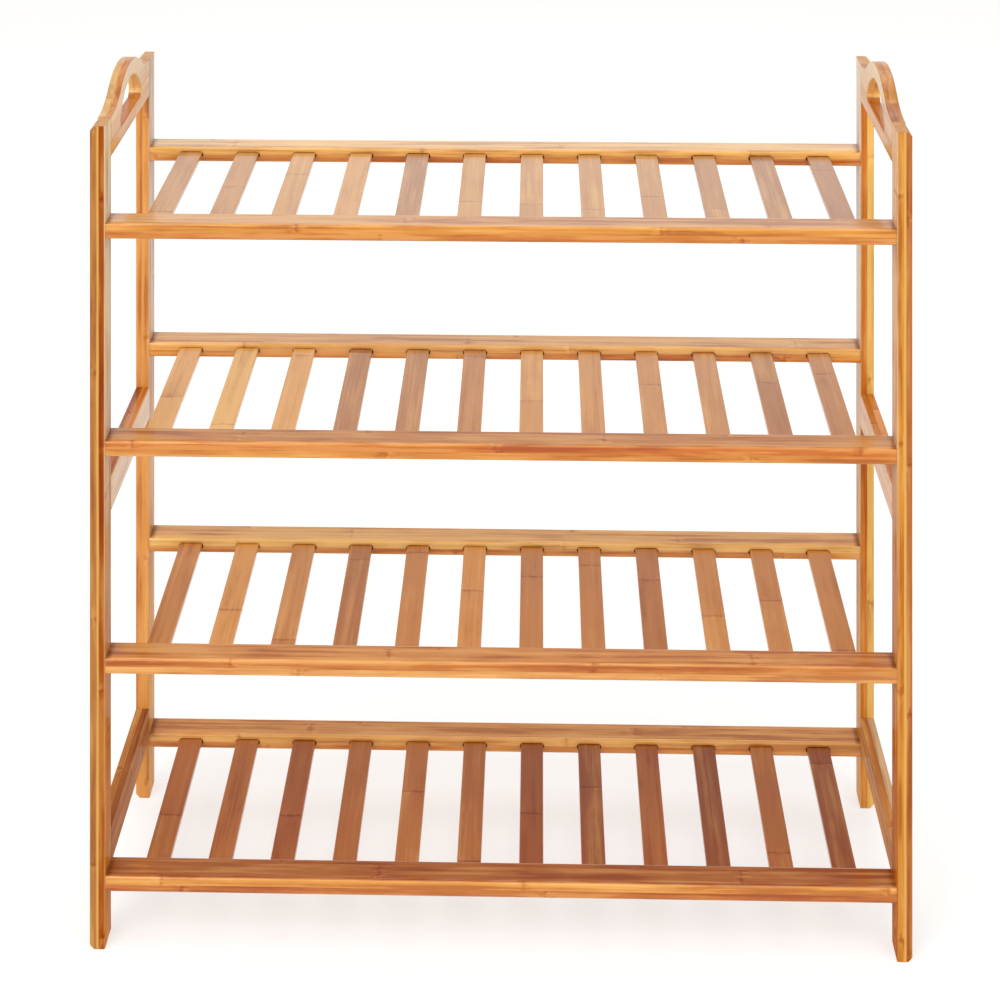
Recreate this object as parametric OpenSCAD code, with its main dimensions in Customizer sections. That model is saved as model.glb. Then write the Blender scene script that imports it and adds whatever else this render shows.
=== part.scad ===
// Four-tier bamboo shoe rack: two side frames with arched handles, joined by four slatted shelves.
// +X is the rack's right, +Y its back and +Z up. The origin is on the floor, in the middle of the
// footprint. Shelf 1 is the lowest, and slat 1 is at the left.

/* [Overall] */
// Width over the outer faces of the posts
rack_w = 700; // [660:10:900]
// Depth over the front and back posts
rack_d = 260; // [250:5:340]
// Height of the posts
post_h = 703; // [690:1:760]

/* [Bamboo stock] */
// Thickness of the posts and side rails
stock_t = 13; // [13:0.5:16]
// Width of the posts, side rails and shelf rails
stock_w = 30; // [30:1:36]
// Radius of the eased long edges of the side frames
frame_edge_r = 1.2; // [0.5:0.1:3]
// Chamfer on the outer corner of each post end
post_chamfer = 4; // [1:0.5:6]

/* [Shelves] */
// Height of the lowest shelf's rails above the floor, measured to their top
first_shelf_z = 62; // [60:1:90]
// Distance from one shelf to the next
shelf_pitch = 186; // [150:1:190]
// Thickness of the shelf rails
rail_t = 14; // [13:0.5:16]
// Radius of the long edges of the shelf rails
rail_edge_r = 3; // [1:0.25:5]
// Distance of the shelf rails' outer face behind the posts' outer face
rail_set_back = 1; // [0:0.5:3]

/* [Slats] */
// Distance from one slat to the next
slat_pitch = 54; // [30:0.1:54.6]
// Width of a slat
slat_w = 21; // [15:0.5:25]
// Thickness of a slat
slat_t = 5; // [4:0.5:6]
// Distance from the top of the rails down to the top of the slats
slat_drop = 4.5; // [3.5:0.5:5]
// Radius of the eased edges of a slat
slat_edge_r = 0.8; // [0.3:0.1:1.5]
// Extra width of a slot beyond its slat
slot_side_play = 2; // [1.5:0.5:5]
// Extra height of a slot beyond its slat
slot_height_play = 1; // [0.6:0.1:1.4]
// Depth of a slot in its rail
slot_depth = 12; // [8:1:14]

/* [Side frames] */
// Height of the lower side rail's bottom edge
lower_rail_z = 55; // [52:1:100]
// Height of the middle side rail's bottom edge
middle_rail_z = 361; // [300:1:380]

/* [Handle panels] */
// Thickness of a handle panel
panel_t = 12; // [10:0.5:13]
// Height of a panel where it meets the posts
panel_h = 35; // [34:1:60]
// Rise of the arch above the posts
arch_rise = 24; // [10:1:40]
// Half the width of the arch, from its crown to where it runs level
arch_half_w = 96; // [80:1:100]
// Share of the arch's two radii that the crown has
crown_share = 0.54; // [0.4:0.01:0.7]
// Length of the hand slot
hand_slot_l = 108; // [90:1:120]
// Height of the hand slot at its middle
hand_slot_h = 32; // [26:1:34]
// Height of the hand slot above the panel's bottom edge
hand_slot_base = 12.5; // [12:0.5:20]
// Radius of the hand slot's corners
corner_r = 6; // [3:0.5:8]

/* [Fasteners] */
// Diameter of a shelf bolt's thread
bolt_d = 5; // [4:1:6]
// Length of a shelf bolt under its head
bolt_l = 35; // [30:1:38]
// Diameter of a shelf bolt's head
bolt_head_d = 8.5; // [8:0.5:10]
// Height of a shelf bolt's head
bolt_head_h = 5; // [4:0.5:5]
// Width across the flats of the hexagon socket
hex_key = 4; // [3:0.5:5]
// Diameter of a barrel nut
nut_d = 8; // [8:0.5:10]
// Length of a barrel nut
nut_l = 9; // [8:0.5:10]
// Diameter of a dowel
dowel_d = 6; // [5:0.5:7]
// Length of a dowel in the side frames
frame_dowel_l = 24; // [20:1:30]
// Length of a dowel in the shelf ends
shelf_dowel_l = 20; // [16:1:22]

/* [Hidden] */
$fn = 48;
LEFT = -1;
RIGHT = 1;
FRONT = -1;
BACK = 1;
SIDES = [LEFT, RIGHT];
ROWS = [FRONT, BACK];
SHELVES = [1 : 4];
SLAT_COUNT = 12;
SLATS_PER_NODE = 2;
SLAT_GROUPS = [1 : SLATS_PER_NODE : SLAT_COUNT];
BAMBOO = [0.88, 0.6, 0.3];
STEEL = [0.72, 0.72, 0.7];
CUT = 1;                                    // how far a cutting tool runs past a face
big_fn = 180;                               // facets of the handle's long arcs

inner_x = rack_w / 2 - stock_t;             // inner face of the right side frame
inner_y = rack_d / 2 - stock_w;             // inner edge of the back posts
rail_y = rack_d / 2 - rail_set_back - stock_w / 2;
rail_inner_y = rail_y - stock_w / 2;
slot_end_y = rail_inner_y + slot_depth;
slat_mid_drop = slat_drop + slat_t / 2;     // from the top of the rails to the middle of the slats

panel_z = post_h - panel_h;
side_joints_z = [lower_rail_z + stock_w / 2, middle_rail_z + stock_w / 2, panel_z + panel_h / 2];
frame_dowel_x = inner_x + panel_t / 2;
frame_dowel_spread = 14;                    // between the two dowels of a joint

bolt_offset = 6;                            // of a bolt from the middle of its shelf rail
dowel_offset = 8;                           // of a dowel from the middle of its shelf rail
head_play = 0.5;                            // around and above a sunk bolt head
bolt_play = 0.25;
thread_play = 0.05;
bore_play = 0.1;
bore_spare = 2.5;                           // free bore beyond the end of a bolt
nut_inset = 7.5;                            // from the end of a bolt back to the middle of its nut
shelf_dowel_in_post = 7;
bolt_y = rail_y + bolt_offset;
shelf_dowel_y = rail_y - dowel_offset;
counterbore_d = bolt_head_d + 2 * head_play;
counterbore_h = bolt_head_h + head_play;
bolt_hole_d = bolt_d + 2 * bolt_play;
bolt_reach = bolt_l + counterbore_h - stock_t;  // into the shelf rail
bolt_bore_l = bolt_reach + bore_spare;
nut_x = inner_x - bolt_reach + nut_inset;
dowel_hole_d = dowel_d + 2 * bore_play;

arch_angle = 2 * atan(arch_rise / arch_half_w);
arch_r_sum = arch_half_w / sin(arch_angle);
crown_r = crown_share * arch_r_sum;
cove_r = arch_r_sum - crown_r;

function side_name(side) = side == LEFT ? "left" : "right";
function row_name(row) = row == FRONT ? "front" : "back";
function shelf_z(shelf) = first_shelf_z + (shelf - 1) * shelf_pitch;
function rail_mid_z(shelf) = shelf_z(shelf) - rail_t / 2;
function slat_x(slat) = (slat - (SLAT_COUNT + 1) / 2) * slat_pitch;
function post_name(side, row) = str(row_name(row), "_", side_name(side), "_post");
function side_rail_name(side, level) = str(side_name(side), "_", level, "_rail");
function panel_name(side) = str(side_name(side), "_handle_panel");
function shelf_rail_name(shelf, row) = str("shelf_", shelf, "_", row_name(row), "_rail");
function slats_name(shelf, slat) = str("shelf_", shelf, "_slats_", slat, "_", slat + SLATS_PER_NODE - 1);

// ---- Shared shapes ----

// Rectangle with rounded corners, centred
module eased(size, r) {
    square([size.x - 2 * r, size.y], center = true);
    square([size.x, size.y - 2 * r], center = true);
    for (x = [-1, 1], y = [-1, 1])
        translate([x * (size.x / 2 - r), y * (size.y / 2 - r)])
            circle(r);
}

// Slot outline with half-round ends, centred
module stadium(size) {
    square([size.x - size.y, size.y], center = true);
    for (x = [-1, 1])
        translate([x * (size.x - size.y) / 2, 0])
            circle(d = size.y);
}

// Puts a shape made for the right side at the given side
module on_side(side) {
    mirror([side == LEFT ? 1 : 0, 0, 0])
        children();
}

// Puts a shape made for the back right corner at the given corner
module at_corner(side, row) {
    on_side(side)
        mirror([0, row == FRONT ? 1 : 0, 0])
            children();
}

// Turns an outline drawn in depth and height so that it is extruded along +X
module along_x(length, center = false) {
    rotate([90, 0, 90])
        linear_extrude(length, center = center)
            children();
}

// Dowels of the back joints of the right side frame, used solid and as their holes
module frame_dowel_row(d) {
    for (joint_z = side_joints_z, offset = [-0.5, 0.5] * frame_dowel_spread)
        translate([frame_dowel_x, inner_y, joint_z + offset])
            rotate([90, 0, 0])
                cylinder(h = frame_dowel_l, d = d, center = true);
}

// Dowel between the back right post and a shelf rail, used solid and as its hole
module shelf_dowel(shelf, d) {
    translate([inner_x + shelf_dowel_in_post, shelf_dowel_y, rail_mid_z(shelf)])
        rotate([0, -90, 0])
            cylinder(h = shelf_dowel_l, d = d);
}

// ---- Side frames ----

module post(side, row) {
    color(BAMBOO)
        at_corner(side, row)
            difference() {
                translate([rack_w / 2 - stock_t / 2, rack_d / 2 - stock_w / 2, 0])
                    linear_extrude(post_h)
                        eased([stock_t, stock_w], frame_edge_r);
                post_end_chamfers();
                for (shelf = SHELVES) {
                    post_bolt_hole(shelf);
                    shelf_dowel(shelf, dowel_hole_d);
                }
                frame_dowel_row(dowel_hole_d);
            }
}

module post_end_chamfers() {
    side_length = post_chamfer * sqrt(2);
    for (z = [0, post_h])
        translate([rack_w / 2, rack_d / 2 - stock_w / 2, z])
            rotate([0, 45, 0])
                cube([side_length, stock_w + 2 * CUT, side_length], center = true);
}

module post_bolt_hole(shelf) {
    translate([rack_w / 2, bolt_y, rail_mid_z(shelf)])
        rotate([0, -90, 0]) {
            translate([0, 0, -CUT])
                cylinder(h = counterbore_h + CUT, d = counterbore_d);
            cylinder(h = stock_t + CUT, d = bolt_hole_d);
        }
}

module side_rail(side, z) {
    color(BAMBOO)
        on_side(side)
            difference() {
                translate([inner_x + stock_t / 2, 0, z + stock_w / 2])
                    rotate([90, 0, 0])
                        linear_extrude(2 * inner_y, center = true)
                            eased([stock_t, stock_w], frame_edge_r);
                side_frame_dowel_holes();
            }
}

module side_frame_dowel_holes() {
    for (row = ROWS)
        at_corner(RIGHT, row)
            frame_dowel_row(dowel_hole_d);
}

module handle_panel(side) {
    color(BAMBOO)
        on_side(side)
            difference() {
                translate([inner_x, 0, panel_z])
                    along_x(panel_t)
                        difference() {
                            arched_outline();
                            translate([0, hand_slot_base])
                                hand_slot_outline();
                        }
                side_frame_dowel_holes();
            }
}

// Level at the posts, then a hollow curve that runs into a round crown
module arched_outline() {
    tangent_h = panel_h + cove_r * (1 - cos(arch_angle));
    tangent_y = crown_r * sin(arch_angle);
    translate([-inner_y, 0])
        square([2 * inner_y, panel_h]);
    difference() {
        translate([-arch_half_w, panel_h / 2])
            square([2 * arch_half_w, tangent_h - panel_h / 2]);
        for (y = [-1, 1])
            translate([y * arch_half_w, panel_h + cove_r])
                circle(cove_r, $fn = big_fn);
    }
    intersection() {
        translate([0, panel_h + arch_rise - crown_r])
            circle(crown_r, $fn = big_fn);
        translate([-tangent_y, tangent_h])
            square([2 * tangent_y, panel_h]);
    }
}

// Flat bottom, round top, rounded corners; its origin is the middle of the flat bottom
module hand_slot_outline() {
    corner_y = hand_slot_l / 2 - corner_r;
    slot_crown_r = (pow(corner_y, 2) + pow(hand_slot_h - corner_r, 2) - pow(corner_r, 2))
        / (2 * (hand_slot_h - 2 * corner_r));
    slot_crown_z = hand_slot_h - slot_crown_r;
    crown_scale = slot_crown_r / (slot_crown_r - corner_r);
    tangent_y = corner_y * crown_scale;
    tangent_z = slot_crown_z + (corner_r - slot_crown_z) * crown_scale;
    intersection() {
        translate([0, slot_crown_z])
            circle(slot_crown_r, $fn = big_fn);
        translate([-tangent_y, tangent_z])
            square([2 * tangent_y, hand_slot_h]);
    }
    translate([-corner_y, 0])
        square([2 * corner_y, tangent_z]);
    for (side = SIDES)
        mirror([side == LEFT ? 1 : 0, 0])
            intersection() {
                translate([corner_y, corner_r])
                    circle(corner_r);
                translate([corner_y, 0])
                    square([corner_r, tangent_z]);
            }
}

// ---- Shelves ----

module shelf_rail(shelf, row) {
    color(BAMBOO)
        at_corner(RIGHT, row)
            difference() {
                translate([0, rail_y, rail_mid_z(shelf)])
                    along_x(2 * inner_x, center = true)
                        eased([stock_w, rail_t], rail_edge_r);
                for (slat = [1 : SLAT_COUNT])
                    slat_slot(shelf, slat);
                for (side = SIDES)
                    on_side(side) {
                        rail_bolt_holes(shelf);
                        shelf_dowel(shelf, dowel_hole_d);
                    }
            }
}

module slat_slot(shelf, slat) {
    translate([slat_x(slat), rail_inner_y - CUT, shelf_z(shelf) - slat_mid_drop])
        rotate([-90, 0, 0])
            linear_extrude(slot_depth + CUT)
                stadium([slat_w + slot_side_play, slat_t + slot_height_play]);
}

// Bolt bore from the rail's end, and the barrel nut's bore from below
module rail_bolt_holes(shelf) {
    translate([inner_x + CUT, bolt_y, rail_mid_z(shelf)])
        rotate([0, -90, 0])
            cylinder(h = bolt_bore_l + CUT, d = bolt_hole_d);
    translate([nut_x, bolt_y, rail_mid_z(shelf) - rail_t / 2 - CUT])
        cylinder(h = (rail_t + nut_l) / 2 + CUT, d = nut_d + 2 * bore_play);
}

module slats(shelf, first_slat) {
    color(BAMBOO)
        for (slat = [first_slat : first_slat + SLATS_PER_NODE - 1])
            translate([slat_x(slat), 0, shelf_z(shelf) - slat_mid_drop])
                rotate([90, 0, 0])
                    linear_extrude(2 * slot_end_y, center = true)
                        eased([slat_w, slat_t], slat_edge_r);
}

// ---- Fasteners ----

// Repeats a fastener that is made for the back right corner of each shelf
module at_shelf_ends() {
    for (side = SIDES, row = ROWS, shelf = SHELVES)
        at_corner(side, row)
            translate([0, 0, rail_mid_z(shelf)])
                children();
}

module shelf_bolts() {
    color(STEEL)
        at_shelf_ends()
            translate([rack_w / 2 - counterbore_h, bolt_y, 0])
                rotate([0, 90, 0])
                    cap_bolt();
}

// The head stands on the origin and the thread hangs below it
module cap_bolt() {
    rim = 0.5;
    socket_depth = bolt_head_h / 2;
    translate([0, 0, -bolt_l])
        cylinder(h = bolt_l, d = bolt_d);
    difference() {
        union() {
            cylinder(h = bolt_head_h - rim, d = bolt_head_d);
            translate([0, 0, bolt_head_h - rim])
                cylinder(h = rim, d1 = bolt_head_d, d2 = bolt_head_d - 2 * rim);
        }
        translate([0, 0, bolt_head_h - socket_depth])
            cylinder(h = socket_depth + CUT, d = hex_key / cos(30), $fn = 6);
    }
}

module barrel_nuts() {
    color(STEEL)
        at_shelf_ends()
            translate([nut_x, bolt_y, 0])
                barrel_nut();
}

// Upright cylinder with a cross bore for the bolt and a screwdriver slot underneath
module barrel_nut() {
    driver_slot = [nut_d + CUT, 1.2, 2];
    difference() {
        cylinder(h = nut_l, d = nut_d, center = true);
        rotate([0, 90, 0])
            cylinder(h = nut_d + CUT, d = bolt_d + 2 * thread_play, center = true);
        translate([0, 0, -nut_l / 2])
            cube(driver_slot, center = true);
    }
}

module shelf_dowels() {
    color(BAMBOO)
        for (side = SIDES, row = ROWS, shelf = SHELVES)
            at_corner(side, row)
                shelf_dowel(shelf, dowel_d);
}

module frame_dowels() {
    color(BAMBOO)
        for (side = SIDES, row = ROWS)
            at_corner(side, row)
                frame_dowel_row(dowel_d);
}

// ---- Nodes ----

for (side = SIDES, row = ROWS)
    post(side, row);
for (side = SIDES) {
    side_rail(side, lower_rail_z);
    side_rail(side, middle_rail_z);
    handle_panel(side);
}
for (shelf = SHELVES) {
    for (row = ROWS)
        shelf_rail(shelf, row);
    for (slat = SLAT_GROUPS)
        slats(shelf, slat);
}
shelf_bolts();
barrel_nuts();
shelf_dowels();
frame_dowels();
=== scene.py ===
"""The looks of the four-tier bamboo shoe rack, built around its CAD frame.

Everything is in metres in the row frame: +X is the rack's right, +Y its back, +Z up.
Bamboo lumber is glued up from strips, so each piece's material is worked out from where a point
lies in its strip: along the fibres, through the plies and across the strip's width.
"""

import math

import bpy
from mathutils import Matrix, Vector


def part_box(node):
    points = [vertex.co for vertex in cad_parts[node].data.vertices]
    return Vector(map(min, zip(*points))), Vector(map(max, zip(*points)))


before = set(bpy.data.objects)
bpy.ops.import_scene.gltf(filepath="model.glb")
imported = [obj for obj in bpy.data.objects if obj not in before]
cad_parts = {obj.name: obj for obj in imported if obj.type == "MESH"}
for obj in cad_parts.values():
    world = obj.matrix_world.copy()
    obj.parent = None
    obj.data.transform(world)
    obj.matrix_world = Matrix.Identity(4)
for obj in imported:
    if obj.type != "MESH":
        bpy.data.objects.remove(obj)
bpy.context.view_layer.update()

MM = 0.001
SHELVES = range(1, 5)
AXES = "XYZ"

# ---- Camera: a level view whose frame is shifted down, so that upright edges stay upright ----

VIEW_PLACE = Vector((0.035, -2.1342, 1.2613))
VIEW_TURN = 0.0256          # radians, to the left of straight ahead
VIEW_FALL = 0.43589         # fall of the middle of the picture for each metre ahead
VIEW_DRIFT = 0.00844        # its drift to the right for each metre ahead
LEVEL_LENS = 84.85          # mm, of the level view
SENSOR = 36.0

# ---- Light ----

HORIZON_GLOW = 1.2          # brightness of the white room's walls
CEILING_GLOW = 0.22
GLOW_FADE = (0.22, 0.53)    # sines of the elevations between which the walls turn into the ceiling
ROOM_WHITE = (1.0, 0.99, 0.975)
FLOOR_COLOUR = (0.38, 0.38, 0.378)
FLOOR_GLOW = 0.62           # the floor is lit from below too, like a photographer's light table
FLOOR_HALF = 25.0
# name: (place, edge length, power in W)
SOFTBOXES = {
    "key": ((-1.5, -2.6, 2.4), 1.8, 44.0),
    "fill": ((2.2, -2.0, 1.7), 2.0, 26.0),
    "top": ((0.2, 0.3, 2.8), 2.2, 14.0),
    "rear": ((0.2, 1.9, 2.7), 1.8, 24.0),
}
AIM = Vector((0.0, 0.0, 0.4))
SKYLIGHT = ((-0.25, -0.45, 0.86), math.radians(70), 0.5)    # where it comes from, spread, strength


def srgb(code):
    """Linear red, green, blue and alpha of a colour written as six hexadecimal digits."""
    parts = [int(code[i:i + 2], 16) / 255 for i in (0, 2, 4)]
    return tuple(c / 12.92 if c <= 0.04045 else ((c + 0.055) / 1.055) ** 2.4 for c in parts) + (1.0,)


# Tones of lacquered bamboo
PALE_STRAW = srgb("FFCA6C")
STRAW = srgb("F4BC62")
GOLD = srgb("F9AB5A")
HONEY = srgb("E29C45")
AMBER = srgb("E0862A")
COPPER = srgb("C9701F")
RUSSET = srgb("A54F0C")
UMBER = srgb("8A4414")
EXPOSURE = 0.8              # of every bamboo tone, to suit the light


# ---- Node trees ----

class Tree:
    """Adds nodes to a node tree. An input is a number, a colour, a vector or another node's output."""

    def __init__(self, tree):
        self.tree = tree
        tree.nodes.clear()

    def feed(self, socket, value):
        if isinstance(value, bpy.types.NodeSocket):
            self.tree.links.new(value, socket)
        else:
            socket.default_value = value

    def add(self, kind, inputs=None, **settings):
        node = self.tree.nodes.new(kind)
        for name, value in settings.items():
            setattr(node, name, value)
        for name, value in (inputs or {}).items():
            self.feed(node.inputs[name], value)
        return node

    def maths(self, operation, *values):
        node = self.add("ShaderNodeMath", operation=operation)
        for socket, value in zip(node.inputs, values):
            self.feed(socket, value)
        return node.outputs[0]

    def vector(self, operation, *values):
        node = self.add("ShaderNodeVectorMath", operation=operation)
        for socket, value in zip(node.inputs, values):
            self.feed(socket, value)
        return node.outputs["Value"] if operation in ("DOT_PRODUCT", "LENGTH") else node.outputs[0]

    def combine(self, x, y, z):
        return self.add("ShaderNodeCombineXYZ", {"X": x, "Y": y, "Z": z}).outputs[0]

    def separate(self, vector):
        return self.add("ShaderNodeSeparateXYZ", {"Vector": vector}).outputs

    def mix(self, factor, first, second, blend="MIX"):
        node = self.add("ShaderNodeMix", data_type="RGBA", blend_type=blend)
        for index, value in ((0, factor), (6, first), (7, second)):
            self.feed(node.inputs[index], value)
        return node.outputs[2]

    def grow(self, value, start, end, low=0.0, high=1.0):
        """Runs smoothly from low at start to high at end."""
        return self.add("ShaderNodeMapRange", {
            "Value": value, "From Min": start, "From Max": end, "To Min": low, "To Max": high,
        }, interpolation_type="SMOOTHSTEP").outputs[0]

    def noise(self, vector, scales, detail=2.0, roughness=0.5):
        """Noise from 0 to 1, with its own scale along each axis of the vector."""
        scaled = self.vector("MULTIPLY", vector, scales)
        return self.add("ShaderNodeTexNoise", {
            "Vector": scaled, "Scale": 1.0, "Detail": detail, "Roughness": roughness}).outputs["Fac"]

    def random(self, seed):
        """A random number from 0 to 1 for each value of the seed."""
        return self.add("ShaderNodeTexWhiteNoise", {"W": seed}, noise_dimensions="1D").outputs["Value"]

    def shade(self, colour, hue, saturation, value):
        return self.add("ShaderNodeHueSaturation", {
            "Hue": hue, "Saturation": saturation, "Value": value, "Color": colour}).outputs[0]


def nearest_edge(tree, share, size):
    """Distance to the nearer end of a cell, from its share of the cell and the cell's size."""
    inward = tree.maths("MINIMUM", share, tree.maths("SUBTRACT", 1.0, share))
    return tree.maths("MULTIPLY", inward, size)


PLIES = ("First ply", "Second ply")


def make_lumber_group():
    """Colour, roughness and height of bamboo lumber at a point given as (along, through, across)."""
    group = bpy.data.node_groups.new("bamboo_lumber", "ShaderNodeTree")
    tree = Tree(group)
    for name, kind in (("Position", "Vector"), ("Strip", "Vector"), ("Seed", "Float"),
                       *((name, "Color") for name in PLIES), ("Tone", "Float"),
                       ("Streaks", "Float"), ("Knots", "Float"), ("Seam", "Float"),
                       ("End grain", "Float"), ("Edge", "Float")):
        group.interface.new_socket(name, in_out="INPUT", socket_type="NodeSocket" + kind)
    for name, kind in (("Colour", "Color"), ("Roughness", "Float"), ("Height", "Float")):
        group.interface.new_socket(name, in_out="OUTPUT", socket_type="NodeSocket" + kind)
    given = tree.add("NodeGroupInput").outputs
    along, through, across = tree.separate(given["Position"])
    internode_length, ply_size, strip_size = tree.separate(given["Strip"])

    # Which strip the point is in, and where in it
    ply = tree.maths("DIVIDE", through, ply_size)
    strip = tree.maths("DIVIDE", across, strip_size)
    ply_index, strip_index = tree.maths("FLOOR", ply), tree.maths("FLOOR", strip)
    ply_share, strip_share = tree.maths("FRACT", ply), tree.maths("FRACT", strip)
    cell = tree.maths("ADD", given["Seed"], tree.maths("MULTIPLY", ply_index, 3.71))
    cell = tree.maths("ADD", cell, tree.maths("MULTIPLY", strip_index, 7.93))
    cell_random = tree.random(cell)
    cell_shift = tree.combine(tree.maths("MULTIPLY", cell, 1.7), tree.maths("MULTIPLY", cell, 0.31), cell)
    point = tree.vector("ADD", given["Position"], cell_shift)

    # Culm nodes: a thin dark line across the strip, with disturbed fibres beside it
    waver = tree.noise(point, (6.0, 90.0, 90.0), 1.0)
    stretch = tree.maths("DIVIDE", tree.maths("ADD", along, tree.maths("MULTIPLY", waver, 0.004)),
                         internode_length)
    stretch = tree.maths("ADD", stretch, tree.maths("MULTIPLY", cell_random, 5.0))
    internode_random = tree.random(tree.maths("ADD", cell, tree.maths(
        "MULTIPLY", tree.maths("FLOOR", stretch), 1.37)))
    node_distance = nearest_edge(tree, tree.maths("FRACT", stretch), internode_length)
    node_line = tree.grow(node_distance, 2.6 * MM, 0.3 * MM)
    node_band = tree.maths("MULTIPLY", tree.grow(node_distance, 12 * MM, 1 * MM), given["Knots"])

    # Fibres, streaks and clouds along the grain
    fibres = tree.noise(point, (9.0, 620.0, 620.0), 3.0, 0.65)
    streaks = tree.noise(point, (4.0, 210.0, 170.0), 2.0, 0.6)
    clouds = tree.noise(point, (12.0, 95.0, 75.0), 3.0, 0.55)
    swirl = tree.noise(point, (95.0, 260.0, 200.0), 2.0)
    flecks = tree.grow(tree.noise(point, (38.0, 1150.0, 1150.0), 1.0), 0.62, 0.74)

    def centred(value, weight):
        return tree.maths("MULTIPLY", tree.maths("SUBTRACT", value, 0.5), weight)

    depth = tree.maths("ADD", 0.5, tree.maths("MULTIPLY", centred(streaks, 2.0), given["Streaks"]))
    for term in (tree.maths("MULTIPLY", centred(clouds, 1.9), given["Streaks"]), centred(fibres, 0.5),
                 centred(internode_random, 0.4), tree.maths("MULTIPLY", node_band, centred(swirl, 3.0)),
                 tree.maths("MULTIPLY", node_line, 0.4), tree.maths("MULTIPLY", flecks, 0.16)):
        depth = tree.maths("ADD", depth, term)

    wander = tree.noise(given["Position"], (17.0, 60.0, 35.0), 3.0)
    base = tree.mix(tree.grow(tree.maths("ADD", ply, centred(wander, 0.2)), 0.96, 1.04),
                    *[given[name] for name in PLIES])
    pale = tree.mix(0.25, tree.shade(base, 0.506, 0.96, 1.2), STRAW)
    deep = tree.shade(base, 0.485, 1.05, 0.66)
    colour = tree.mix(tree.grow(depth, -0.05, 0.5), pale, base)
    colour = tree.mix(tree.grow(depth, 0.5, 1.15), colour, deep)

    # A pale stripe of soft inner bamboo beside the glued seam of the two plies
    seam_place = tree.maths("MULTIPLY", ply_size, 1.05)
    seam_distance = tree.maths("ABSOLUTE", tree.maths("SUBTRACT", through, seam_place))
    seam_wander = tree.maths("MULTIPLY", tree.noise(point, (12.0, 2.0, 2.0), 1.0), 1.3 * MM)
    stripe = tree.grow(tree.maths("ADD", seam_distance, seam_wander), 2.2 * MM, 1.0 * MM)
    colour = tree.mix(tree.maths("MULTIPLY", stripe, given["Seam"]), colour, STRAW)

    # Glue lines, end grain, and edges darkened as a painted dark reflection and lightened in patches as a
    # painted highlight, with rougher wear there
    glue_distance = tree.maths("MINIMUM", nearest_edge(tree, ply_share, ply_size),
                               nearest_edge(tree, strip_share, strip_size))
    glue = tree.grow(glue_distance, 0.35 * MM, 0.1 * MM)
    colour = tree.mix(tree.maths("MULTIPLY", glue, 0.3), colour, UMBER)
    pores = tree.add("ShaderNodeTexVoronoi", {
        "Vector": tree.vector("MULTIPLY", point, (60.0, 950.0, 950.0)), "Scale": 1.0}).outputs["Distance"]
    pore = tree.grow(pores, 0.38, 0.22)
    cut_end = tree.mix(tree.maths("MULTIPLY", pore, 0.35), tree.shade(base, 0.5, 0.9, 0.74), UMBER)
    colour = tree.mix(given["End grain"], colour, cut_end)
    patches = tree.grow(tree.noise(point, (22.0, 60.0, 60.0), 3.0), 0.35, 0.62)
    edge_highlight_and_wear = tree.maths("MULTIPLY", given["Edge"], patches)
    # Edges painted darker as a dark reflection, then lighter in patches as a highlight
    colour = tree.mix(tree.maths("MULTIPLY", given["Edge"], 0.3), colour, UMBER)
    colour = tree.mix(tree.maths("MULTIPLY", edge_highlight_and_wear, 0.25), colour, STRAW)
    colour = tree.shade(colour, 0.5, 1.0, given["Tone"])

    roughness = tree.maths("ADD", 0.36, centred(fibres, 0.22))
    roughness = tree.maths("ADD", roughness, centred(clouds, 0.12))
    roughness = tree.maths("ADD", roughness, tree.maths("MULTIPLY", edge_highlight_and_wear, 0.14))
    roughness = tree.maths("ADD", roughness, tree.maths("MULTIPLY", given["End grain"], 0.14))

    height = tree.maths("ADD", tree.maths("MULTIPLY", fibres, 0.35), tree.maths(
        "MULTIPLY", node_line, tree.maths("MULTIPLY", given["Knots"], 0.5)))
    height = tree.maths("SUBTRACT", height, tree.maths("MULTIPLY", glue, 0.5))
    height = tree.maths("SUBTRACT", height, tree.maths("MULTIPLY", flecks, 0.15))
    height = tree.maths("SUBTRACT", height, tree.maths("MULTIPLY", tree.maths(
        "MULTIPLY", pore, given["End grain"]), 0.4))
    tree.add("NodeGroupOutput", {"Colour": colour, "Roughness": roughness, "Height": height})
    return group


LUMBER = make_lumber_group()


def new_material(name):
    material = bpy.data.materials.new(name)
    material.use_nodes = True
    return material, Tree(material.node_tree)


def put_on(node, material):
    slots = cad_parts[node].data.materials
    slots.clear()
    slots.append(material)


def axis_vector(axis):
    return Vector([1.0 if name == axis else 0.0 for name in AXES])


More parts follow.
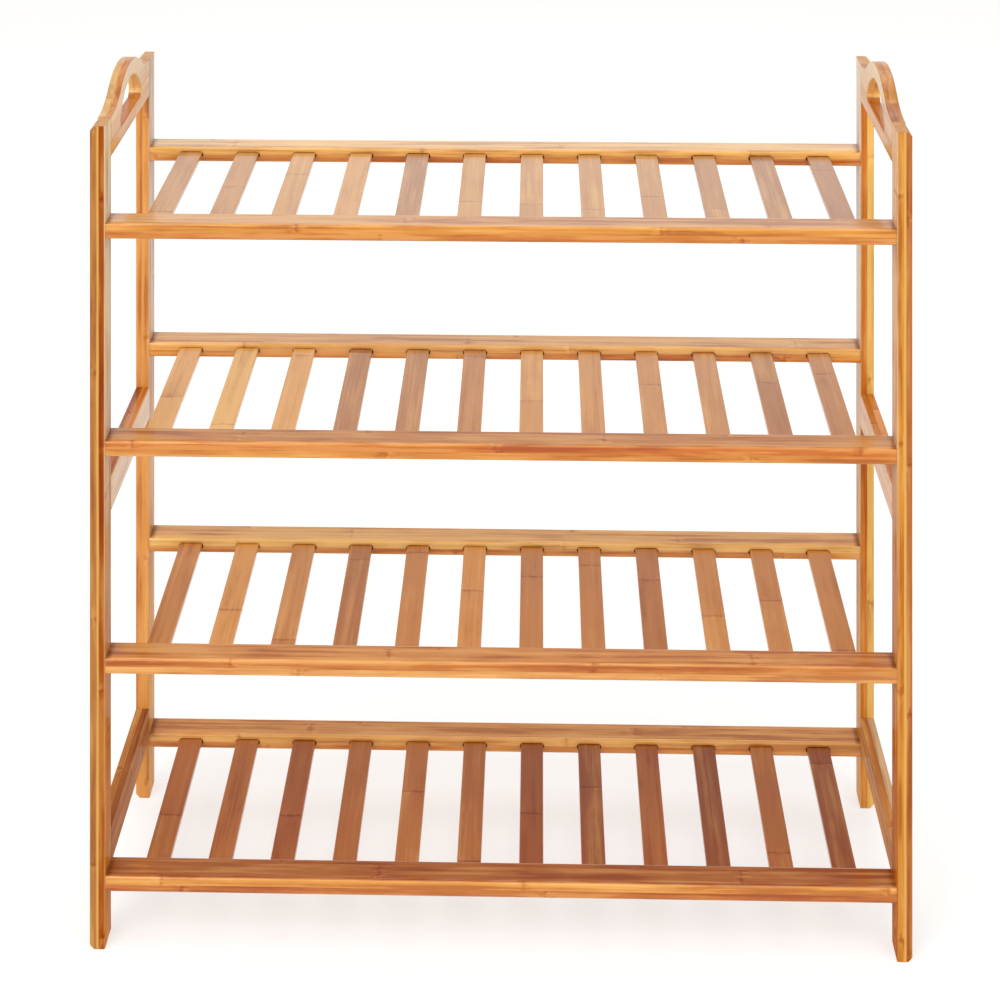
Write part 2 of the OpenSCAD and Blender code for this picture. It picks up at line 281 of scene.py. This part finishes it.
def bamboo(node, grain, plies_axis, width_axis, tones, seed, internode=0.24, strip=0.022, ply=None,
           streaks=1.0, knots=1.0, seam=0.0, edge=1.2 * MM, pairs=None, lacquer=0.4, sheen=0.1,
           face=None, cut=None):
    """Gives a CAD node bamboo lumber.

    The three axes are those of the fibres, the plies and the strips' width. A face is given as the
    end of the plies' axis it lies at, 0 or 1, and its tones near the floor and near the rack's top;
    the change from one to the other is painted shade low down and painted reflection up high.
    The cut is the tone of the wood on the sawn ends. Pairs are the pitch and width of a node's two slats.
    """
    low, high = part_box(node)
    pick = {name: (low[i], high[i]) for i, name in enumerate(AXES)}
    ply = ply or (pick[plies_axis][1] - pick[plies_axis][0]) / 2
    material, tree = new_material(node)
    coordinates = tree.add("ShaderNodeTexCoord").outputs
    place = dict(zip(AXES, tree.separate(coordinates["Object"])))
    along = place[grain]
    through = tree.maths("SUBTRACT", place[plies_axis], pick[plies_axis][0])
    across = tree.maths("SUBTRACT", place[width_axis], pick[width_axis][0])
    facing = tree.vector("DOT_PRODUCT", coordinates["Normal"], axis_vector(grain))
    end_grain = tree.grow(tree.maths("ABSOLUTE", facing), 0.25, 0.95)

    def near_face(offset, size):
        """0 inside, 1 within an edge radius of either face."""
        return tree.grow(nearest_edge(tree, tree.maths("DIVIDE", offset, size), size), edge, 0.25 * edge)

    def span(axis):
        return pick[axis][1] - pick[axis][0]

    if pairs:
        pitch, width = pairs
        local = tree.maths("MODULO", across, pitch)
        across_face = near_face(tree.maths("MINIMUM", local, width), width)
        strip = pitch
        across = tree.maths("ADD", across, (pitch - width) / 2)
    else:
        across_face = near_face(across, span(width_axis))
    edges = tree.maths("MULTIPLY", near_face(through, span(plies_axis)), across_face)
    ends = near_face(tree.maths("SUBTRACT", along, pick[grain][0]), span(grain))
    edges = tree.maths("MAXIMUM", edges, tree.maths("MULTIPLY", ends, 0.7))

    plies = tones[0], tones[-1]
    if face:
        end, low_tone, high_tone = face
        depth = tree.maths("ABSOLUTE", tree.maths("SUBTRACT", place[plies_axis], pick[plies_axis][end]))
        # Where the face's two tones differ, it is painted darker near the floor as shade and paler near the
        # top as reflection
        face_tone = tree.mix(tree.grow(place["Z"], 0.1, 0.6), low_tone, high_tone)
        layer = tree.grow(depth, 1.1 * MM, 0.4 * MM)
        plies = [tree.mix(layer, tone, face_tone) for tone in plies]

    if cut:
        plies = [tree.mix(end_grain, tone, cut) for tone in plies]

    lumber = tree.add("ShaderNodeGroup", node_tree=LUMBER)
    for name, value in (("Position", tree.combine(along, through, across)),
                        ("Strip", (internode, ply, strip)), ("Seed", seed),
                        *zip(PLIES, plies), ("Tone", EXPOSURE),
                        ("Streaks", streaks), ("Knots", knots), ("Seam", seam),
                        ("End grain", end_grain), ("Edge", edges)):
        tree.feed(lumber.inputs[name], value)
    bump = tree.add("ShaderNodeBump", {
        "Height": lumber.outputs["Height"], "Strength": 0.5, "Distance": 0.2 * MM})
    shader = tree.add("ShaderNodeBsdfPrincipled", {
        "Base Color": lumber.outputs["Colour"], "Roughness": lumber.outputs["Roughness"],
        "Normal": bump.outputs[0], "IOR": 1.5, "Specular IOR Level": sheen, "Coat Weight": lacquer,
        "Coat Roughness": 0.12, "Coat IOR": 1.5})
    tree.add("ShaderNodeOutputMaterial", {"Surface": shader.outputs[0]})
    put_on(node, material)
    return tree, lumber


def repaint(tree, lumber, tone):
    """Gives both plies of a node's lumber one tone."""
    for name in PLIES:
        tree.feed(lumber.inputs[name], tone)


# ---- Side frames ----

# Tones of each post's left and right ply, the strength of the stripe at their seam, the lacquer, and
# the tones of the inner face near the floor and near the top, darker low as painted shade and paler
# high as painted reflection
POSTS = {
    "front_left_post": (srgb("BE8648"), RUSSET, 0.9, 0.15, "DE8A32", "FFEAC2"),
    "back_left_post": (GOLD, GOLD, 0.6, 0.3, "FFBC5C", "FFF2D8"),
    "front_right_post": (HONEY, srgb("C27C44"), 1.0, 0.12, "CC6E0C", "FFDAB4"),
    "back_right_post": (AMBER, PALE_STRAW, 0.0, 0.3, "FCB244", "FFF6E0"),
}
# Tones of each side rail's left and right ply, the lacquer, the gloss of the wood under it, and the
# tone of the inner face
SIDE_RAILS = {
    "left_lower_rail": (srgb("BE7C44"), srgb("A05E34"), 0.12, 0.0, "CC8A5C"),
    "left_middle_rail": (RUSSET, COPPER, 0.5, 0.1, "FFCA66"),
    "right_lower_rail": (srgb("C07840"), srgb("E0B88C"), 0.12, 0.0, "EDAA66"),
    "right_middle_rail": (COPPER, AMBER, 0.35, 0.1, "FFAD30"),
}
# Tones of each handle panel's arch, of the band along the arch's inner half, and of the hand slot's walls,
# which are paled as painted light where the slot is in shade
PANELS = {
    "left_handle_panel": ("D8AC70", "BE7026", "F6C47C"),
    "right_handle_panel": ("BA7830", "A65C18", "F0B464"),
}
# The panels' inner faces, low down and at the crown, darker low as painted shade and paler high as
# painted reflection, and the posts' sawn ends
PANEL_LOW, PANEL_HIGH = srgb("FAB450"), srgb("FFDEA4")
CUT_POST = srgb("EDB071")
PANEL_EASE = 1.2 * MM       # rounding of the panels' edges
# Heights over a panel's bottom between which the painted shade on the hand slot's floor sets in
SLOT_FLOOR_FADE = (19 * MM, 14 * MM)
# How far over a panel's bottom its inner face starts to turn paler as painted reflection, and how far
# under its top it ends
PALE_START, PALE_END = 10 * MM, 12 * MM


def inner_end(node):
    """Which end of the X axis, 0 or 1, the inner face of a side frame's piece lies at."""
    return 1 if "left" in node else 0


for number, (node, (left, right, seam, lacquer, low_tone, high_tone)) in enumerate(POSTS.items()):
    bamboo(node, "Z", "X", "Y", (left, right), seed=11.3 + 5.9 * number, internode=0.21, seam=seam,
           streaks=1.3, lacquer=lacquer, sheen=0.0, cut=CUT_POST,
           face=(inner_end(node), srgb(low_tone), srgb(high_tone)))
for number, (node, (left, right, lacquer, sheen, tone)) in enumerate(SIDE_RAILS.items()):
    bamboo(node, "Y", "X", "Z", (left, right), seed=41.7 + 4.3 * number, lacquer=lacquer, sheen=sheen,
           face=(inner_end(node), srgb(tone), srgb(tone)))


def handle_panel(node, tones, seed):
    """The arch has a darker band; the hand slot's walls are paled as painted light and its floor darkened as
    painted shade.
    """
    arch, band_tone, painted_light_wall = [srgb(code) for code in tones]
    tree, lumber = bamboo(node, "Y", "X", "Z", (arch,), seed, strip=0.0205, streaks=0.7, knots=0.5,
                          lacquer=0.3)
    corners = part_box(node)
    bottom, top = [corner.z for corner in corners]
    coordinates = tree.add("ShaderNodeTexCoord").outputs
    x, _, z = tree.separate(coordinates["Object"])
    normal = tree.separate(coordinates["Normal"])
    upward = tree.grow(normal[2], 0.3, 0.7)
    flat = tree.grow(tree.maths("ABSOLUTE", normal[0]), 0.75, 0.97)
    depth = tree.maths("ABSOLUTE", tree.maths("SUBTRACT", x, corners[inner_end(node)].x))
    waver = tree.noise(coordinates["Object"], (60.0, 30.0, 60.0), 3.0)
    band = tree.grow(tree.maths("ADD", depth, tree.maths("MULTIPLY", waver, 5 * MM)), 9.5 * MM, 6.5 * MM)
    colour = tree.mix(band, arch, band_tone)
    # Faces that don't look up take the wall tone, paled as painted light for the shaded slot walls
    colour = tree.mix(upward, painted_light_wall, colour)
    # The hand slot's floor is painted darker as shade
    slot_floor_shade = tree.maths("MULTIPLY", upward, tree.grow(z, *[bottom + rise for rise in SLOT_FLOOR_FADE]))
    colour = tree.mix(tree.maths("MULTIPLY", slot_floor_shade, 0.85), colour, COPPER)
    # The inner face is painted darker low down as shade and paler at the crown as reflection
    face_tone = tree.mix(tree.grow(z, bottom + PALE_START, top - PALE_END), PANEL_LOW, PANEL_HIGH)
    layer = tree.maths("MULTIPLY", flat, tree.grow(depth, 1.6 * MM, 0.6 * MM))
    repaint(tree, lumber, tree.mix(layer, colour, face_tone))
    # End grain is kept to faces that look up, so the slot's walls keep their painted light
    end_grain = lumber.inputs["End grain"]
    tree.feed(end_grain, tree.maths("MULTIPLY", end_grain.links[0].from_socket, upward))


def ease_edges(node, size):
    """Rounds a node's sharp edges. They are split in the CAD mesh, so they are welded first."""
    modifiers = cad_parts[node].modifiers
    modifiers.new("joined", "WELD").merge_threshold = 0.01 * MM
    ease = modifiers.new("eased", "BEVEL")
    ease.width = size
    ease.segments = 3
    ease.limit_method = "ANGLE"
    ease.angle_limit = math.radians(40)
    ease.use_clamp_overlap = False


for number, (node, tones) in enumerate(PANELS.items()):
    handle_panel(node, tones, 67.1 + 3.7 * number)
    ease_edges(node, PANEL_EASE)

# ---- Shelves ----

# Tones of each shelf rail's lower ply, upper ply and top face
SHELF_RAILS = {
    "shelf_1_front_rail": ("D0762A", "EEA244", "BE6D2C"),
    "shelf_1_back_rail": ("E9943C", "FFBE62", "F8AE5C"),
    "shelf_2_front_rail": ("EFA757", "D07A27", "ED9E4C"),
    "shelf_2_back_rail": ("E2903A", "FFC96F", "FFBE6A"),
    "shelf_3_front_rail": ("E59336", "D67418", "D58A38"),
    "shelf_3_back_rail": ("EF9437", "FBBA62", "F4B468"),
    "shelf_4_front_rail": ("D88026", "E79A34", "D69548"),
    "shelf_4_back_rail": ("E08A30", "FABA5A", "F0BC70"),
}


def shelf_rail(node, tones, seed):
    """Bamboo, with painted shade and a painted dark reflection on top, where the rail meets the posts."""
    lower, upper, top = [srgb(code) for code in tones]
    tree, lumber = bamboo(node, "X", "Z", "Y", (lower, upper), seed, internode=0.31, streaks=1.5,
                          edge=2.5 * MM, lacquer=0.75, face=(1, top, top))
    half_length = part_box(node)[1].x
    coordinates = tree.add("ShaderNodeTexCoord").outputs
    x = tree.separate(coordinates["Object"])[0]
    to_end = tree.maths("SUBTRACT", half_length, tree.maths("ABSOLUTE", x))
    upward = tree.grow(tree.separate(coordinates["Normal"])[2], 0.5, 0.9)
    # Painted shade and a painted dark reflection on the rail's top near its ends, where it meets the posts
    painted_corner_shade = tree.maths("MULTIPLY", tree.grow(to_end, 6.5 * MM, 1.5 * MM), upward)
    painted_corner_shade = tree.maths("MULTIPLY", painted_corner_shade, 0.85)
    for name in PLIES:
        tone = lumber.inputs[name].links[0].from_socket
        tree.feed(lumber.inputs[name], tree.mix(painted_corner_shade, tone, UMBER))


for number, (node, tones) in enumerate(SHELF_RAILS.items()):
    shelf_rail(node, tones, 83.9 + 6.1 * number)

# Tone of each shelf's slats, from the lowest shelf to the highest; the lowest is painted deeper and redder
# as shade
SLAT_TONES = (srgb("AF5E22"), srgb("D68B3B"), srgb("D6934A"), srgb("C18643"))
# One digit for each slat from the left, 0 palest to 9 darkest, from the lowest shelf to the highest
SLAT_SHADES = ("324323683938", "416952668455", "101996435697", "343293555799")
STRAW_SHARES = (0.8, 0.3, 0.12, 0.06)     # of straw in the tone of the palest slats, from shade 0 on
# Brightness of the shelf's tone in a slat of shade 0, and how much of it each darker shade loses
PALEST_BRIGHTNESS, DIMMING = 1.225, 0.056
# The darkest shade without a red cast, and the green and blue that each darker one loses
PLAIN_SHADE, REDDENING = 4, 0.03
SINGLE_PLY = 20 * MM        # thicker than a slat, so that no seam shows
SLAT_COUNT = 12


def slat_tone(shelf, slat):
    """The shelf's tone, brighter and more like straw in a pale slat, deeper and redder in a dark one."""
    shade = int(SLAT_SHADES[shelf - 1][slat - 1])
    straw = STRAW_SHARES[shade] if shade < len(STRAW_SHARES) else 0.0
    brightness = (1.0 - straw) * (PALEST_BRIGHTNESS - DIMMING * shade)
    kept = 1.0 - REDDENING * max(0, shade - PLAIN_SHADE)
    tone = SLAT_TONES[shelf - 1]
    return tuple(brightness * tint * c + straw * s
                 for tint, c, s in zip((1.0, kept, kept), tone, STRAW)) + (1.0,)


def slat_spacing():
    """The slats' width and pitch, from two neighbouring nodes of two slats each."""
    (left, right), (next_left, _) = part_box("shelf_1_slats_1_2"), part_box("shelf_1_slats_3_4")
    pitch = (next_left.x - left.x) / 2
    return right.x - left.x - pitch, pitch


def slats():
    width, pitch = slat_spacing()
    for shelf in SHELVES:
        for first in range(1, SLAT_COUNT, 2):
            node = f"shelf_{shelf}_slats_{first}_{first + 1}"
            low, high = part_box(node)
            middle = (low.x + high.x) / 2
            tree, lumber = bamboo(node, "Y", "Z", "X", (STRAW,), seed=140.0 + 17.3 * shelf + 2.9 * first,
                                  internode=0.23 + 0.017 * (first % 5), ply=SINGLE_PLY, streaks=0.45,
                                  knots=0.3, edge=0.8 * MM, pairs=(pitch, width), lacquer=0.75)
            place = tree.add("ShaderNodeTexCoord").outputs["Object"]
            right = tree.grow(tree.separate(place)[0], middle - MM, middle + MM)
            repaint(tree, lumber, tree.mix(right, slat_tone(shelf, first), slat_tone(shelf, first + 1)))


slats()


# ---- Fasteners ----

def zinc_steel():
    material, tree = new_material("zinc_steel")
    place = tree.add("ShaderNodeTexCoord").outputs["Object"]
    spangle = tree.noise(place, (900.0, 900.0, 900.0), 3.0)
    turning = tree.noise(place, (4000.0, 250.0, 250.0), 2.0)
    colour = tree.mix(spangle, (0.50, 0.51, 0.52, 1.0), (0.74, 0.74, 0.72, 1.0))
    roughness = tree.maths("ADD", 0.22, tree.maths("MULTIPLY", spangle, 0.22))
    bump = tree.add("ShaderNodeBump", {"Height": turning, "Strength": 0.3, "Distance": 0.05 * MM})
    shader = tree.add("ShaderNodeBsdfPrincipled", {
        "Base Color": colour, "Roughness": roughness, "Normal": bump.outputs[0], "Metallic": 1.0})
    tree.add("ShaderNodeOutputMaterial", {"Surface": shader.outputs[0]})
    return material


def dowel_wood():
    material, tree = new_material("dowel_wood")
    place = tree.add("ShaderNodeTexCoord").outputs["Object"]
    grain = tree.noise(place, (260.0, 260.0, 700.0), 3.0)
    colour = tree.mix(grain, srgb("D9B98A"), srgb("B58A56"))
    bump = tree.add("ShaderNodeBump", {"Height": grain, "Strength": 0.3, "Distance": 0.1 * MM})
    shader = tree.add("ShaderNodeBsdfPrincipled", {
        "Base Color": colour, "Roughness": tree.grow(grain, 0.2, 0.8, 0.55, 0.75), "Normal": bump.outputs[0]})
    tree.add("ShaderNodeOutputMaterial", {"Surface": shader.outputs[0]})
    return material


steel, wood = zinc_steel(), dowel_wood()
for node, material in (("shelf_bolts", steel), ("barrel_nuts", steel),
                       ("shelf_dowels", wood), ("frame_dowels", wood)):
    put_on(node, material)

# ---- Stage ----

def link(thing):
    bpy.context.scene.collection.objects.link(thing)
    return thing


def make_floor():
    mesh = bpy.data.meshes.new("floor")
    corners = [(x * FLOOR_HALF, y * FLOOR_HALF, 0.0) for x, y in ((-1, -1), (1, -1), (1, 1), (-1, 1))]
    mesh.from_pydata(corners, [], [(0, 1, 2, 3)])
    material, tree = new_material("pale_floor")
    place = tree.add("ShaderNodeTexCoord").outputs["Object"]
    mottle = tree.noise(place, (3.0, 3.0, 3.0), 2.0)
    colour = tree.mix(mottle, FLOOR_COLOUR + (1.0,), tuple(0.985 * c for c in FLOOR_COLOUR) + (1.0,))
    shader = tree.add("ShaderNodeBsdfPrincipled", {
        "Base Color": colour, "Roughness": 0.85, "Emission Color": ROOM_WHITE + (1.0,),
        "Emission Strength": FLOOR_GLOW})
    tree.add("ShaderNodeOutputMaterial", {"Surface": shader.outputs[0]})
    mesh.materials.append(material)
    floor = link(bpy.data.objects.new("floor", mesh))


def make_lights():
    world = bpy.data.worlds.new("white_room")
    world.use_nodes = True
    tree = Tree(world.node_tree)
    height = tree.separate(tree.add("ShaderNodeTexCoord").outputs["Generated"])[2]
    glow = tree.grow(height, *GLOW_FADE, HORIZON_GLOW, CEILING_GLOW)
    background = tree.add("ShaderNodeBackground", {"Color": ROOM_WHITE + (1.0,), "Strength": glow})
    tree.add("ShaderNodeOutputWorld", {"Surface": background.outputs[0]})
    bpy.context.scene.world = world
    for name, (place, edge, power) in SOFTBOXES.items():
        light = bpy.data.lights.new(name, "AREA")
        light.size = edge
        light.energy = power
        add_lamp(name, light, Vector(place), AIM)
    direction, spread, strength = SKYLIGHT
    light = bpy.data.lights.new("skylight", "SUN")
    light.angle = spread
    light.energy = math.pi * strength
    add_lamp("skylight", light, Vector(direction), Vector())


def add_lamp(name, light, place, aim):
    lamp = link(bpy.data.objects.new(name, light))
    lamp.location = place
    lamp.rotation_euler = (aim - place).to_track_quat("-Z", "Y").to_euler()


def make_camera():
    """The slanted view axis is carried by the mount, so the upright axis of the picture is the row's."""
    right = Vector((math.cos(VIEW_TURN), math.sin(VIEW_TURN), 0.0))
    ahead = Vector((-math.sin(VIEW_TURN), math.cos(VIEW_TURN), 0.0))
    up = Vector((0.0, 0.0, 1.0))
    middle = ahead + VIEW_DRIFT * right - VIEW_FALL * up
    data = bpy.data.cameras.new("camera")
    data.sensor_width = SENSOR
    data.lens = LEVEL_LENS * middle.length
    data.dof.use_dof = False
    camera = link(bpy.data.objects.new("camera", data))
    mount = link(bpy.data.objects.new("camera_mount", None))
    camera.parent = mount
    columns = (right, up, -middle.normalized(), VIEW_PLACE)
    rows = [[column[i] for column in columns] for i in range(3)]
    camera.matrix_parent_inverse = Matrix(rows + [[0, 0, 0, 1]])
    bpy.context.scene.camera = camera


make_floor()
make_lights()
make_camera()
bpy.context.scene.view_settings.view_transform = "Standard"
